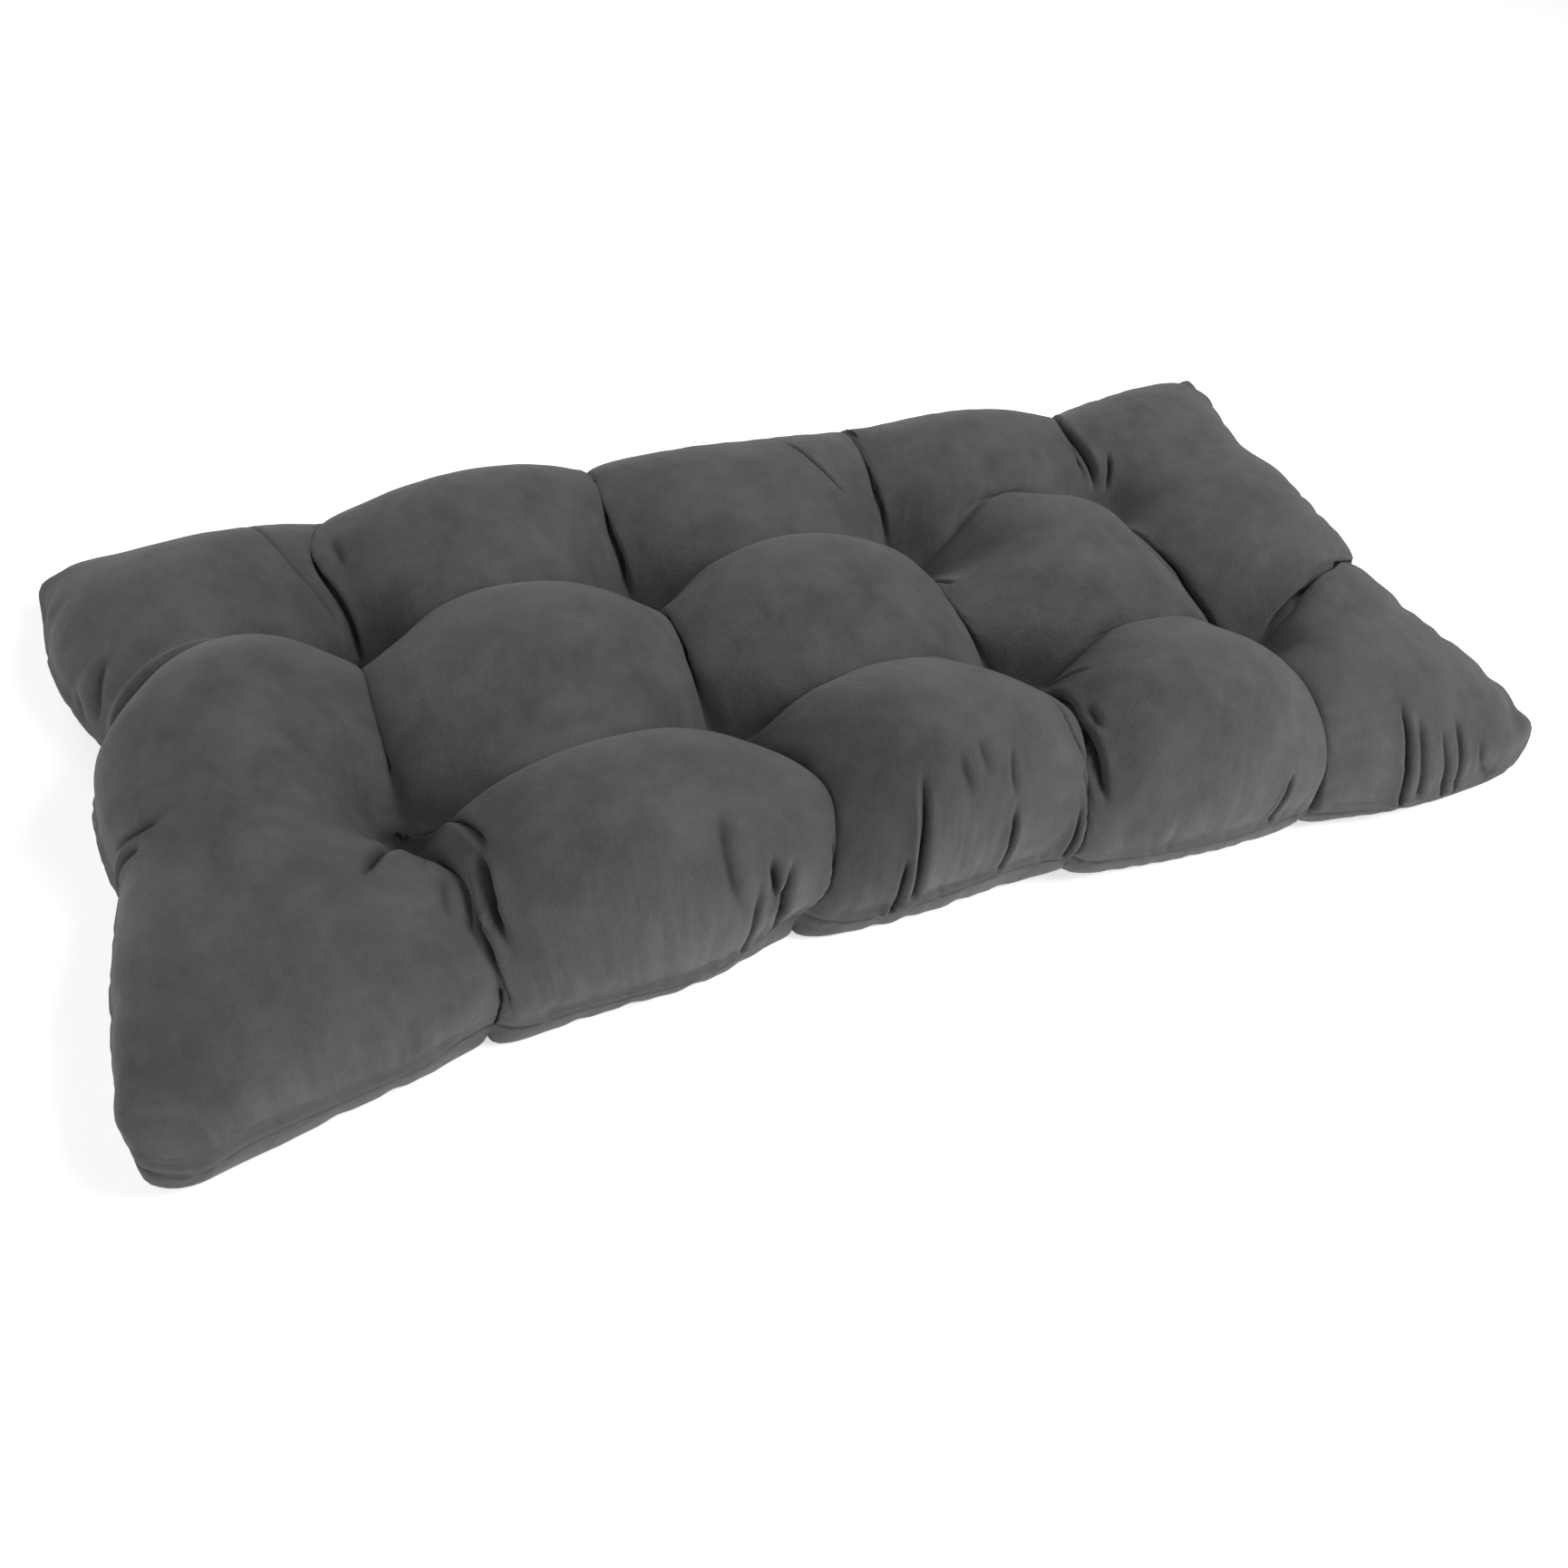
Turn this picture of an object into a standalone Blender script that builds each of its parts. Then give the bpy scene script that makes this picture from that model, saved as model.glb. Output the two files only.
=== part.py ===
"""Tufted bench cushion: one filled solid, two cloth panels sewn edge to edge and drawn together at eight tufts.

Metres, +Z up. X runs along the length, the front edge is at -Y, and the cushion lies on Z = 0.
The eight tufts and the seam's pinches divide each panel into five by three cells. Each cell is a
crowned bulge, and the lines between neighbouring cells are the drawn-in channels.
"""

import math

import bmesh
import bpy

# Driving sizes
COLUMNS = 5
ROWS = 3
CELL_STEPS = 12
SEAM_HEIGHT = 0.030
CORNER_HEIGHT = 0.040

# Where the cloth is held, front seam to back seam, in plan (x, y). The first and last of each row lie
# on the end seams, and the rest are seam pinches or tufts.
HELD_POINTS = (
    # left end          pinch or tuft 1    pinch or tuft 2    pinch or tuft 3    pinch or tuft 4    right end
    ((-0.550, -0.255), (-0.342, -0.226), (-0.133, -0.216), (0.095, -0.240), (0.301, -0.262), (0.550, -0.255)),
    ((-0.536, -0.050), (-0.364, -0.082), (-0.120, -0.068), (0.131, -0.084), (0.350, -0.110), (0.531, -0.036)),
    ((-0.527, 0.069), (-0.348, 0.085), (-0.129, 0.084), (0.103, 0.072), (0.304, 0.083), (0.534, 0.118)),
    ((-0.548, 0.254), (-0.332, 0.238), (-0.120, 0.256), (0.128, 0.241), (0.349, 0.220), (0.550, 0.254)),
)

# Upper panel. A rise is how high a channel stands above its two held points half way between them, and a
# crown is how far a bulge stands above the channels round it.
TOP = {
    "tuft_height": 0.048,
    "lengthwise_rises": (
        # left end, then the four spans to the right end
        (0.050, 0.037, 0.044, 0.032, 0.026),  # along the front tufts
        (0.045, 0.032, 0.041, 0.039, 0.021),  # along the back tufts
    ),
    "crosswise_rises": (
        # tuft 1, tuft 2, tuft 3, tuft 4
        (0.028, 0.025, 0.025, 0.033),  # front seam to front tufts
        (0.036, 0.021, 0.012, 0.012),  # front tufts to back tufts
        (0.030, 0.031, 0.029, 0.022),  # back tufts to back seam
    ),
    "crowns": (
        (0.045, 0.038, 0.037, 0.040, 0.012),  # front bulges
        (0.044, 0.037, 0.031, 0.012, 0.022),  # middle bulges
        (0.031, 0.038, 0.020, 0.032, 0.012),  # back bulges
    ),
}

# Lower panel, measured downwards. What would reach below the floor is flattened on it.
BOTTOM = {
    "tuft_height": 0.026,
    "lengthwise_rises": ((-0.022, -0.014, -0.014, -0.014, -0.022),) * 2,
    "crosswise_rises": ((-0.022,) * 4, (-0.014,) * 4, (-0.022,) * 4),
    "crowns": ((-0.026,) * 5,) * 3,
}

# How round the channels and bulges are: 0.5 is a circular arc, 1 a parabola
CHANNEL_ROUNDNESS = 0.62
BULGE_ROUNDNESS = 0.55

# The seam bows out between two pinches, and the cloth above it rolls out past the seam
SEAM_BOW = 0.010
EDGE_ROLL = 0.010
BOW_ROUNDNESS = 0.5
ROLL_ROUNDNESS = 1.0

# How much closer the steps across a cell lie at its channels than in its middle
STEP_CROWDING = 0.55

# Points of the two panels that lie closer than this on the seam are one point
WELD_DISTANCE = 0.00001

CLOTH_COLOUR = (0.084, 0.086, 0.086, 1.0)
CLOTH_ROUGHNESS = 0.92


def clear_scene():
    for old in list(bpy.data.objects):
        bpy.data.objects.remove(old)


def arch(t, roundness):
    """0 at both ends of a span and 1 in its middle."""
    return max(0.0, 4.0 * t * (1.0 - t)) ** roundness


def mix(low, high, t):
    return low + (high - low) * t


def cell_and_step(position, cells):
    """Which cell a position from -1 to 1 across the whole panel lies in, and how far across that cell."""
    across = (position + 1.0) / 2.0 * cells
    cell = min(cells - 1, round(across * CELL_STEPS) // CELL_STEPS)
    even = min(1.0, max(0.0, across - cell))
    crowded = 0.5 - 0.5 * math.cos(math.pi * even)
    return cell, mix(even, crowded, STEP_CROWDING)


def held_height(column, row, panel):
    """Height of a held point: a corner, the seam round the outside, or a tuft."""
    at_end = column in (0, COLUMNS)
    at_side = row in (0, ROWS)
    if at_end and at_side:
        return CORNER_HEIGHT
    return SEAM_HEIGHT if at_end or at_side else panel["tuft_height"]


def seam_or_channel(start, end, t, panel):
    """Height along the line from one held point (column, row) to the next."""
    level = mix(held_height(*start, panel), held_height(*end, panel), t)
    column, row = start
    if row == end[1]:
        rise = 0.0 if row in (0, ROWS) else panel["lengthwise_rises"][row - 1][column]
    else:
        rise = 0.0 if column in (0, COLUMNS) else panel["crosswise_rises"][row][column - 1]
    return level + rise * arch(t, CHANNEL_ROUNDNESS)


def height(column, row, a, b, panel):
    """Height in a cell: stretched between its four edge lines, and crowned above them."""
    front = seam_or_channel((column, row), (column + 1, row), a, panel)
    back = seam_or_channel((column, row + 1), (column + 1, row + 1), a, panel)
    left = seam_or_channel((column, row), (column, row + 1), b, panel)
    right = seam_or_channel((column + 1, row), (column + 1, row + 1), b, panel)
    corners = mix(
        mix(held_height(column, row, panel), held_height(column + 1, row, panel), a),
        mix(held_height(column, row + 1, panel), held_height(column + 1, row + 1, panel), a),
        b,
    )
    crown = panel["crowns"][row][column] * arch(a, BULGE_ROUNDNESS) * arch(b, BULGE_ROUNDNESS)
    return mix(front, back, b) + mix(left, right, a) - corners + crown


def plan(column, row, a, b, roll):
    """Plan position in a cell, with the seam's bow and the cloth's roll past it."""
    near, far = HELD_POINTS[row], HELD_POINTS[row + 1]
    x = mix(mix(near[column][0], near[column + 1][0], a), mix(far[column][0], far[column + 1][0], a), b)
    y = mix(mix(near[column][1], near[column + 1][1], a), mix(far[column][1], far[column + 1][1], a), b)
    bow_across = SEAM_BOW * arch(a, BOW_ROUNDNESS)
    bow_along = SEAM_BOW * arch(b, BOW_ROUNDNESS)
    roll_across = roll * arch(b, ROLL_ROUNDNESS) * arch(a, BOW_ROUNDNESS)
    roll_along = roll * arch(a, ROLL_ROUNDNESS) * arch(b, BOW_ROUNDNESS)
    if row == 0:
        y -= (bow_across + roll_across) * (1.0 - b)
    if row == ROWS - 1:
        y += (bow_across + roll_across) * b
    if column == 0:
        x -= (bow_along + roll_along) * (1.0 - a)
    if column == COLUMNS - 1:
        x += (bow_along + roll_along) * a
    return x, y


def top_point(u, v):
    column, a = cell_and_step(u, COLUMNS)
    row, b = cell_and_step(v, ROWS)
    return (*plan(column, row, a, b, EDGE_ROLL), height(column, row, a, b, TOP))


def bottom_point(u, v):
    column, a = cell_and_step(u, COLUMNS)
    row, b = cell_and_step(v, ROWS)
    return (*plan(column, row, a, b, 0.0), max(0.0, height(column, row, a, b, BOTTOM)))


def add_panel(mesh, surface_point):
    """Lays one panel as an even grid and moves each of its points onto the surface."""
    made = bmesh.ops.create_grid(
        mesh, x_segments=COLUMNS * CELL_STEPS, y_segments=ROWS * CELL_STEPS, size=1.0
    )
    for vert in made["verts"]:
        vert.co = surface_point(vert.co.x, vert.co.y)
    return made["verts"]


def centre_in_plan(mesh):
    """Moves the cushion so that the middle of its outline is at X = 0, Y = 0."""
    xs = [vert.co.x for vert in mesh.verts]
    ys = [vert.co.y for vert in mesh.verts]
    middle = ((min(xs) + max(xs)) / 2.0, (min(ys) + max(ys)) / 2.0, 0.0)
    bmesh.ops.translate(mesh, verts=mesh.verts, vec=[-value for value in middle])


def build_cushion(collection):
    mesh = bmesh.new()
    add_panel(mesh, top_point)
    bottom = add_panel(mesh, bottom_point)
    under = {face for vert in bottom for face in vert.link_faces}
    bmesh.ops.reverse_faces(mesh, faces=list(under))
    bmesh.ops.remove_doubles(mesh, verts=mesh.verts, dist=WELD_DISTANCE)
    centre_in_plan(mesh)
    data = bpy.data.meshes.new("cushion")
    mesh.to_mesh(data)
    mesh.free()
    data.shade_smooth()
    data.materials.append(cloth_material())
    cushion = bpy.data.objects.new("cushion", data)
    collection.objects.link(cushion)
    return cushion


def cloth_material():
    material = bpy.data.materials.new("brushed_microfibre_cloth")
    material.use_nodes = True
    shader = material.node_tree.nodes["Principled BSDF"]
    shader.inputs["Base Color"].default_value = CLOTH_COLOUR
    shader.inputs["Roughness"].default_value = CLOTH_ROUGHNESS
    shader.inputs["Metallic"].default_value = 0.0
    return material


def main():
    clear_scene()
    collection = bpy.data.collections.new("bench_cushion")
    bpy.context.scene.collection.children.link(collection)
    build_cushion(collection)


main()
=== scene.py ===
import math

import bmesh
import bpy
import numpy as np
from mathutils import Euler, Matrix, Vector, noise
from mathutils.kdtree import KDTree


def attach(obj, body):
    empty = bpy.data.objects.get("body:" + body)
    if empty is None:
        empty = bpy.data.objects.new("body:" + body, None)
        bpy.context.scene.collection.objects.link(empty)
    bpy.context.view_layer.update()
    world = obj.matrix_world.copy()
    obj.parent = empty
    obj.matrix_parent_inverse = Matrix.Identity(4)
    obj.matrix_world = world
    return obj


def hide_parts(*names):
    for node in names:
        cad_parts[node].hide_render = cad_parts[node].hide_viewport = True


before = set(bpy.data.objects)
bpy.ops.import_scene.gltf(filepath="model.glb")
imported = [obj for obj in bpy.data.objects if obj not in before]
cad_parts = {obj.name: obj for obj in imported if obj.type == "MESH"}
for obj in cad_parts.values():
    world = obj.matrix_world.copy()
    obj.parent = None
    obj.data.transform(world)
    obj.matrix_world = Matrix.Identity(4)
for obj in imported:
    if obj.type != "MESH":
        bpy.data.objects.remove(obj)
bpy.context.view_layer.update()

# Tufted bench cushion, in metres. Its front long edge is at -Y and it lies on Z = 0.
# Cell numbers p run from 0 to 5 along the length and q from 0 to 3 from front to back, so a whole
# pair of numbers is a corner, a seam pinch or a tuft.

cut = {
    "columns": 5,
    "rows": 3,
    "rowShare": 0.8,  # how deep a cell is for its length
    "stepsAlong": 26,  # mesh steps in one cell along the length
    "stepsAcross": 22,  # and from front to back
    "widths": (0.236, 0.256, 0.256, 0.246, 0.226),  # of the columns in the cloth as cut
    "depths": (0.205, 0.195, 0.190),  # of the rows
    "sewnHalf": (0.55, 0.2525),  # half the length and depth between the corners once it is sewn
    "skew": 0.8,  # share of the cut that follows the tufts out of square
    "level": 0.035,  # how high the seam lies before filling
    "edgeHalf": 0.020,  # half the thickness near the seam before filling
    "edgeReach": 0.5,  # in cells
    "cornerTop": 0.035,  # the same at the corners, above and below the seam
    "cornerUnder": 0.060,
    "cornerReach": 0.9,  # in cells
    "underShare": 0.4,  # how much of the upper crowns the lower panel has
    "roundness": 0.7,  # of the crowns: 0.5 is a circular arc and 1 a parabola
    "crowns": np.array((  # spare cloth in each cell, as the height of a dome
        (0.020, 0.070, 0.080, 0.065, 0.010),
        (0.040, 0.050, 0.045, 0.035, -0.010),
        (0.015, 0.035, 0.022, 0.028, -0.005),
    )),
    "saddles": np.array((  # spare cloth along the front and back rows of tufts
        (0.060, 0.012, 0.012, 0.012, 0.000),
        (0.018, 0.009, 0.009, 0.003, 0.018),
    )),
}
tufts = [(column, row) for row in range(1, cut["rows"]) for column in range(1, cut["columns"])]

sewn = {
    "seamHeight": 0.030,
    "frontHeights": (0.046, 0.026, 0.024, 0.030, 0.026, 0.030),  # the front seam, corner to corner
    "backCorners": (0.028, 0.034),
    "seamBow": 0.014,  # the seam bows out between two pinches
    "bowRoundness": 0.5,
    "tuftTop": 0.035,
    "tuftUnder": 0.021,
    "centring": (0.0002, 0.0040),  # how far part.py's outline is moved to its middle
}

# where the cloth is held, front seam to back seam: corners, seam pinches and tufts, as (x, y)
heldPoints = np.array((
    ((-0.55, -0.255), (-0.342, -0.226), (-0.12, -0.216), (0.095, -0.24), (0.301, -0.262), (0.55, -0.255)),
    ((-0.536, -0.05), (-0.364, -0.082), (-0.12, -0.068), (0.131, -0.084), (0.358, -0.104), (0.531, -0.036)),
    ((-0.527, 0.069), (-0.348, 0.085), (-0.129, 0.084), (0.103, 0.072), (0.304, 0.083), (0.534, 0.118)),
    ((-0.548, 0.254), (-0.332, 0.238), (-0.12, 0.256), (0.128, 0.241), (0.349, 0.22), (0.55, 0.254)),
)) + sewn["centring"]

filling = {
    "drawFrames": 12,  # the seam and the tufts are drawn to their places in this time
    "frames": 30,
    "cloth": {  # Blender's settings
        "quality": 5, "mass": 0.05, "tension_stiffness": 15.0, "compression_stiffness": 15.0,
        "shear_stiffness": 5.0, "bending_stiffness": 0.01, "tension_damping": 0.5,
        "compression_damping": 0.5, "shear_damping": 0.5, "bending_damping": 0.0, "air_damping": 0.0,
        "use_pressure": True, "uniform_pressure_force": 400.0, "vertex_group_mass": "held",
    },
}


def arch(t, roundness):
    return np.maximum(0.0, 4.0 * t * (1.0 - t)) ** roundness


def smooth(t):
    t = np.clip(t, 0.0, 1.0)
    return t * t * (3.0 - 2.0 * t)


def mix(low, high, t):
    return low + (high - low) * t


def cells(p, q):
    # which cell each point lies in and how far across it
    column = np.minimum(cut["columns"] - 1, np.floor(p + 1e-6)).astype(int)
    row = np.minimum(cut["rows"] - 1, np.floor(q + 1e-6)).astype(int)
    return column, row, p - column, q - row


def cellsToEdge(p, q):
    return np.minimum(np.minimum(p, cut["columns"] - p), np.minimum(q, cut["rows"] - q))


def betweenCorners(values, p, q):
    # straight mixing of what is given at the held points
    column, row, a, b = cells(p, q)
    if values.ndim == 3:
        a, b = a[..., None], b[..., None]
    near = mix(values[row, column], values[row, column + 1], a)
    far = mix(values[row + 1, column], values[row + 1, column + 1], a)
    return mix(near, far, b)


def sewnPoints(p, q, side):
    # where the seam and the tufts end up; the cloth between them is only roughly there
    column, row, a, b = cells(p, q)
    plan = betweenCorners(heldPoints, p, q)
    bowAcross, bowAlong = (sewn["seamBow"] * arch(t, sewn["bowRoundness"]) for t in (a, b))
    x = plan[..., 0] - np.where(column == 0, bowAlong * (1 - a), 0)
    x = x + np.where(column == cut["columns"] - 1, bowAlong * a, 0)
    y = plan[..., 1] - np.where(row == 0, bowAcross * (1 - b), 0)
    y = y + np.where(row == cut["rows"] - 1, bowAcross * b, 0)
    heights = []
    for tuft in (sewn["tuftTop"], sewn["tuftUnder"]):
        held = np.full(heldPoints.shape[:2], sewn["seamHeight"])
        held[1:-1, 1:-1] = tuft
        held[0] = sewn["frontHeights"]
        held[-1, ::cut["columns"]] = sewn["backCorners"]
        heights.append(betweenCorners(held, p, q))
    return np.stack((x, y, np.where(side < 0, heights[1], heights[0])), -1)


def cutPoints(p, q, side):
    # the cloth before it is filled: two panels with a little depth, and spare cloth in each cell
    column, row, a, b = cells(p, q)
    xs = np.concatenate(((0,), np.cumsum(cut["widths"])))
    ys = np.concatenate(((0,), np.cumsum(cut["depths"])))
    xs, ys = xs - xs[-1] / 2, ys - ys[-1] / 2
    square = np.stack((np.interp(p, np.arange(xs.size), xs), np.interp(q, np.arange(ys.size), ys)), -1)
    stretch = (xs[-1] / cut["sewnHalf"][0], ys[-1] / cut["sewnHalf"][1])
    plan = mix(square, sewnPoints(p, q, side)[..., :2] * stretch, cut["skew"])

    edge = np.sqrt(1 - (1 - np.clip(cellsToEdge(p, q) / cut["edgeReach"], 0, 1)) ** 2)
    fromEnd = np.minimum(p, cut["columns"] - p)
    fromSide = np.minimum(q, cut["rows"] - q) * cut["rowShare"]
    corner = smooth(1 - np.hypot(fromEnd, fromSide) / cut["cornerReach"])
    top = mix(cut["edgeHalf"], cut["cornerTop"], corner) * edge
    under = mix(cut["edgeHalf"], cut["cornerUnder"], corner) * edge

    dome = cut["crowns"][row, column] * arch(a, cut["roundness"]) * np.sin(math.pi * b) ** 2
    saddles = np.zeros((cut["rows"] + 1, cut["columns"]))
    saddles[1:-1] = cut["saddles"]
    saddle = arch(a, cut["roundness"]) * mix(saddles[row, column], saddles[row + 1, column], smooth(b))
    below = -under - (dome + saddle) * cut["underShare"]
    z = np.where(side > 0, top + dome + saddle, np.where(side < 0, below, 0))
    return np.concatenate((plan, (cut["level"] + z)[..., None]), -1)


def sewPanels():
    # two grids of cloth that share their seam points
    p, q = np.meshgrid(
        np.arange(cut["columns"] * cut["stepsAlong"] + 1) / cut["stepsAlong"],
        np.arange(cut["rows"] * cut["stepsAcross"] + 1) / cut["stepsAcross"],
        indexing="ij",
    )
    inside = np.zeros(p.shape, bool)
    inside[1:-1, 1:-1] = True
    topIndex = np.arange(p.size).reshape(p.shape)
    underIndex = topIndex.copy()
    underIndex[inside] = p.size + np.arange(inside.sum())
    along = np.concatenate((p.ravel(), p[inside]))
    across = np.concatenate((q.ravel(), q[inside]))
    side = np.concatenate((inside.ravel().astype(float), -np.ones(inside.sum())))

    def quads(index, flip):
        ring = (index[:-1, :-1], index[1:, :-1], index[1:, 1:], index[:-1, 1:])
        return np.stack([corner.ravel() for corner in (ring[::-1] if flip else ring)], -1)

    faces = np.concatenate((quads(topIndex, False), quads(underIndex, True)))
    data = bpy.data.meshes.new("cushionCloth")
    data.from_pydata(cutPoints(along, across, side).tolist(), [], faces.tolist())
    for name, values in (("cellAlong", along), ("cellAcross", across), ("side", side)):
        writeValues(data, name, values)
    data.update()
    print("cushion: panels sewn,", along.size, "points")
    return addObject("cushionCloth", data)


def writeValues(data, name, values):
    # one number or one vector for each point
    kind, part = ("FLOAT", "value") if values.ndim == 1 else ("FLOAT_VECTOR", "vector")
    data.attributes.new(name, kind, "POINT").data.foreach_set(part, values.astype(np.float32).ravel())


def addObject(name, data):
    thing = bpy.data.objects.new(name, data)
    bpy.context.scene.collection.objects.link(thing)
    return thing


def readPoints(data):
    points = np.zeros(len(data.vertices) * 3, np.float32)
    data.vertices.foreach_get("co", points)
    return points.reshape(-1, 3).astype(float)


def readNormals(data):
    normals = np.zeros(len(data.vertices) * 3, np.float32)
    data.vertex_normals.foreach_get("vector", normals)
    return normals.reshape(-1, 3).astype(float)


def readPlaces(data):
    # each point's cell numbers along and across, and its side: 1 the upper panel, -1 the lower, 0 the seam
    values = np.zeros((3, len(data.vertices)), np.float32)
    for row, name in zip(values, ("cellAlong", "cellAcross", "side")):
        data.attributes[name].data.foreach_get("value", row)
    return values.astype(float)


def writePoints(data, points):
    data.vertices.foreach_set("co", points.astype(np.float32).ravel())
    data.update()


def evaluated(piece):
    return bpy.data.meshes.new_from_object(piece.evaluated_get(bpy.context.evaluated_depsgraph_get()))


def apply(piece, modifier):
    done = evaluated(piece)
    piece.modifiers.remove(modifier)
    old = piece.data
    piece.data = done
    bpy.data.meshes.remove(old)


def fill(piece):
    # the seam and the tufts are drawn to their places while the filling presses the cloth out
    along, across, side = readPlaces(piece.data)
    onTuft = (np.abs(along - np.round(along)) < 1e-4) & (np.abs(across - np.round(across)) < 1e-4)
    held = piece.vertex_groups.new(name="held")
    held.add([int(i) for i in np.nonzero((side == 0) | onTuft)[0]], 1.0, "REPLACE")
    piece.shape_key_add(name="asCut", from_mix=False)
    drawn = piece.shape_key_add(name="drawn", from_mix=False)
    drawn.data.foreach_set("co", sewnPoints(along, across, side).astype(np.float32).ravel())
    for value, number in ((0.0, 1), (1.0, 1 + filling["drawFrames"])):
        drawn.value = value
        drawn.keyframe_insert("value", frame=number)

    modifier = piece.modifiers.new("filling", "CLOTH")
    for name, value in filling["cloth"].items():
        setattr(modifier.settings, name, value)
    modifier.settings.effector_weights.gravity = 0.0
    modifier.collision_settings.use_collision = False
    modifier.collision_settings.use_self_collision = False
    scene = bpy.context.scene
    for number in range(1, filling["frames"] + 1):
        scene.frame_set(number)
    filled = evaluated(piece)
    bpy.data.objects.remove(piece)
    scene.frame_set(1)
    filled.name = "cushionCloth"
    print("cushion: filled,", (np.ptp(readPoints(filled), axis=0) * 1000).round(), "mm")
    return addObject("cushionCloth", filled)


def layFlat(piece):
    points = readPoints(piece.data)
    points[:, 2] = np.maximum(points[:, 2], 0.0)
    writePoints(piece.data, points)


# where the filled cloth is worked soft by hand: p, q, and the reach along and across in cells
softened = (
    (0.45, 1, 0.4, 0.22),  # the two left front bulges run together
    (4.5, 2, 0.45, 0.2),  # so do the two right back ones
)
softRounds = 60

# where it is patted into shape: the same, and then the move in millimetres
pats = (
    (0.55, 1, 0.3, 0.18, 0, 0, 6),
    (0.2, 0.85, 0.25, 0.3, 2, 0, -10),
    (0.6, 1.7, 0.33, 0.22, 0, 0, 10),
    (0, 1.5, 0.25, 0.3, 6, 0, 0),
    (0.2, 1.78, 0.2, 0.25, 0, 0, -12),
    (1, 0.5, 0.22, 0.28, 18, 0, 0),
    (2, 0.38, 0.28, 0.26, 45, 0, 0),
    (4, 0.5, 0.2, 0.24, -7, 0, 0),
    (1, 2.5, 0.22, 0.28, -16, 0, 0),
    (1, 1.45, 0.18, 0.26, -6, 0, 0),
    (2, 1.45, 0.18, 0.26, -7, 0, 0),
    (2, 2.4, 0.18, 0.26, -6, 0, 0),
    (3, 2.5, 0.18, 0.26, -4, 0, 0),
    (3.22, 1.78, 0.16, 0.16, 0, 0, -10),
    (1.5, 0.62, 0.42, 0.3, 0, 0, 15),
    (2.5, 0.62, 0.42, 0.3, 0, 0, 9),
    (3.5, 0.62, 0.42, 0.3, 0, 0, 3),
    (0.5, 0.62, 0.42, 0.3, 0, 0, -7),
    (3.45, 1.62, 0.42, 0.3, 0, 0, -6),
    (0.05, 0.12, 0.12, 0.14, -6, 0, 0),
    (0.5, 1.62, 0.42, 0.3, 0, 0, 8),
    (1.5, 1.62, 0.42, 0.3, 0, 0, 5),
    (2.5, 1.62, 0.42, 0.3, 0, 0, 5),
    (0.5, 2.62, 0.42, 0.3, 0, 0, 6),
    (1.45, 2.7, 0.35, 0.3, 0, 0, 4),
    (3, 1.42, 0.25, 0.28, -24, 0, 0),
    (2, 0.68, 0.18, 0.16, 8, 0, 0),
    (2, 0.33, 0.18, 0.13, -8, 0, 0),
    (1, 0.38, 0.18, 0.13, -8, 0, 0),
    (1, 0.13, 0.16, 0.1, 5, 0, 0),
    (3, 0.62, 0.2, 0.24, 10, 0, 0),
    (4, 2.6, 0.18, 0.16, -6, 0, 0),
    (4, 2.22, 0.16, 0.14, 6, 0, 0),
    (1, 2.28, 0.16, 0.16, 5, 0, 0),
    (3.95, 1.4, 0.2, 0.3, -14, 0, -30),
    (3.15, 1.6, 0.2, 0.3, 0, 0, -12),
    (3.14, 1.85, 0.16, 0.18, 0, 0, -10),
    (3.28, 1.85, 0.15, 0.2, 0, 0, -8),
    (3.74, 1.78, 0.16, 0.2, 0, 0, 9),
    (1.8, 0.76, 0.14, 0.2, 5, 0, 7),
    (2.16, 0.94, 0.15, 0.15, 0, 0, 11),
    (3, 1, 0.15, 0.15, -4, 0, 0),
    (1.04, 0.85, 0.11, 0.1, 0, 0, 8),
    (0.05, 0.24, 0.12, 0.14, -7, 0, 0),
    (4.45, 2.5, 0.5, 0.4, 0, 0, -16),
    (4.65, 0.6, 0.35, 0.4, 0, 0, -18),
    (0.3, 2.75, 0.45, 0.3, 0, 0, -14),
    (2.5, 2.6, 0.35, 0.3, 0, 0, -6),
)

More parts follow.
